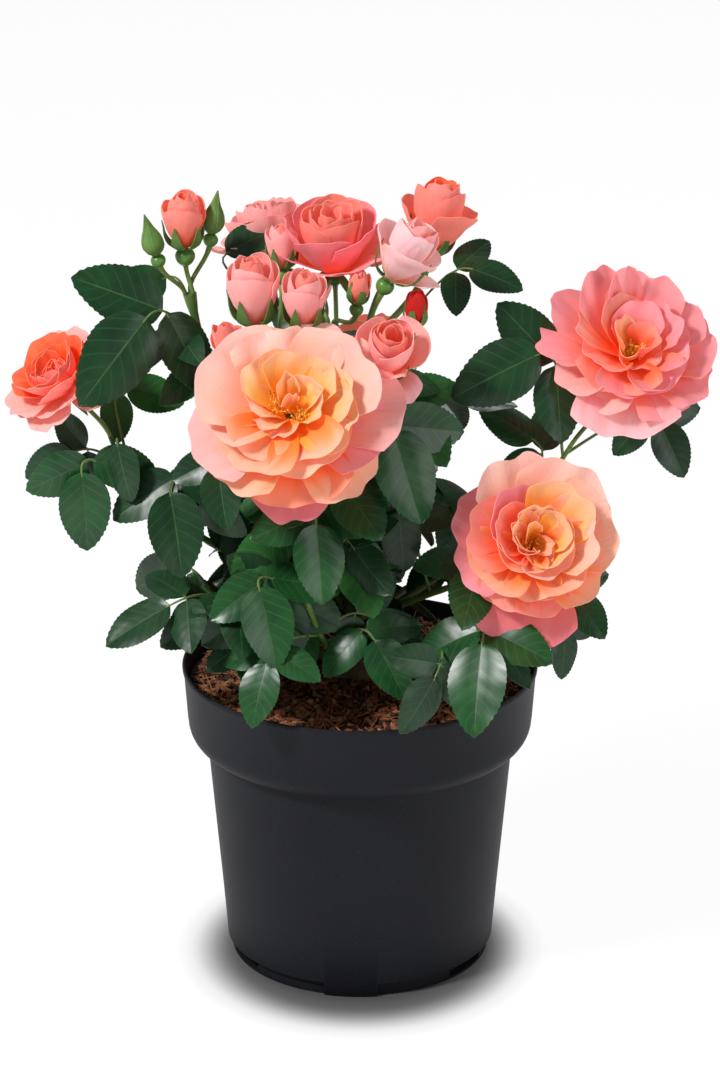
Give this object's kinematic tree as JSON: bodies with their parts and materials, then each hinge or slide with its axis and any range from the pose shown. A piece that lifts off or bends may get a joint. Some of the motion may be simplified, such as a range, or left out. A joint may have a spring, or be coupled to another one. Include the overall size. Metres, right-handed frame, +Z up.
{
  "type": "potted rose bush",
  "caption": "Compact rose bush in full flower, with open coral blooms, buds and glossy compound leaves, in a round plastic nursery pot.",
  "frame": {"origin": "centre of the flat underside of the pot", "axes": "+Z up; -Y towards the side that carries the largest bloom; +X to the right of it"},
  "size_m": [0.437, 0.2844, 0.5056],
  "materials": {
    "pot": "smooth dark grey moulded plastic with a dull sheen",
    "soil": "loose bark chips and coir over dark compost",
    "stem_wood": "green young bark, brown at the foot",
    "leaf": "glossy dark green leaf",
    "petal": "soft coral petal, golden towards its foot"
  },
  "bodies": {
    "root": {"pot": "pot", "soil": "soil", "stub": "stem_wood", "cane_back": "stem_wood", "cane_back_left": "stem_wood", "cane_back_right": "stem_wood", "cane_centre_left": "stem_wood", "cane_centre_top": "stem_wood", "cane_front": "stem_wood", "cane_left_low": "stem_wood", "cane_left_top": "stem_wood", "cane_low_back": "stem_wood", "cane_low_front": "stem_wood", "cane_low_left": "stem_wood", "cane_low_right": "stem_wood", "cane_right": "stem_wood", "cane_right_low": "stem_wood", "cane_right_top": "stem_wood", "leaves_back": "leaf", "leaves_back_left": "leaf", "leaves_back_right": "leaf", "leaves_centre_left": "leaf", "leaves_centre_top": "leaf", "leaves_front": "leaf", "leaves_left_low": "leaf", "leaves_left_top": "leaf", "leaves_low_back": "leaf", "leaves_low_front": "leaf", "leaves_low_left": "leaf", "leaves_low_right": "leaf", "leaves_right": "leaf", "leaves_right_low": "leaf", "leaves_right_top": "leaf", "bloom_back": "petal", "bloom_back_left": "petal", "bloom_back_right": "petal", "bloom_front": "petal", "bloom_left": "petal", "bloom_right": "petal", "bloom_right_low": "petal", "bloom_top": "petal", "bloom_top_left": "petal", "bloom_top_right": "petal", "bud_back": "petal", "bud_back_left": "petal", "bud_pair_left": "petal", "bud_pair_right": "petal", "bud_pale": "petal", "bud_red": "petal", "bud_small_left": "petal", "bud_small_right": "petal", "bud_trio_left": "petal", "bud_trio_mid": "petal", "bud_trio_right": "petal", "bud_turned": "petal"}
  },
  "joints": []
}
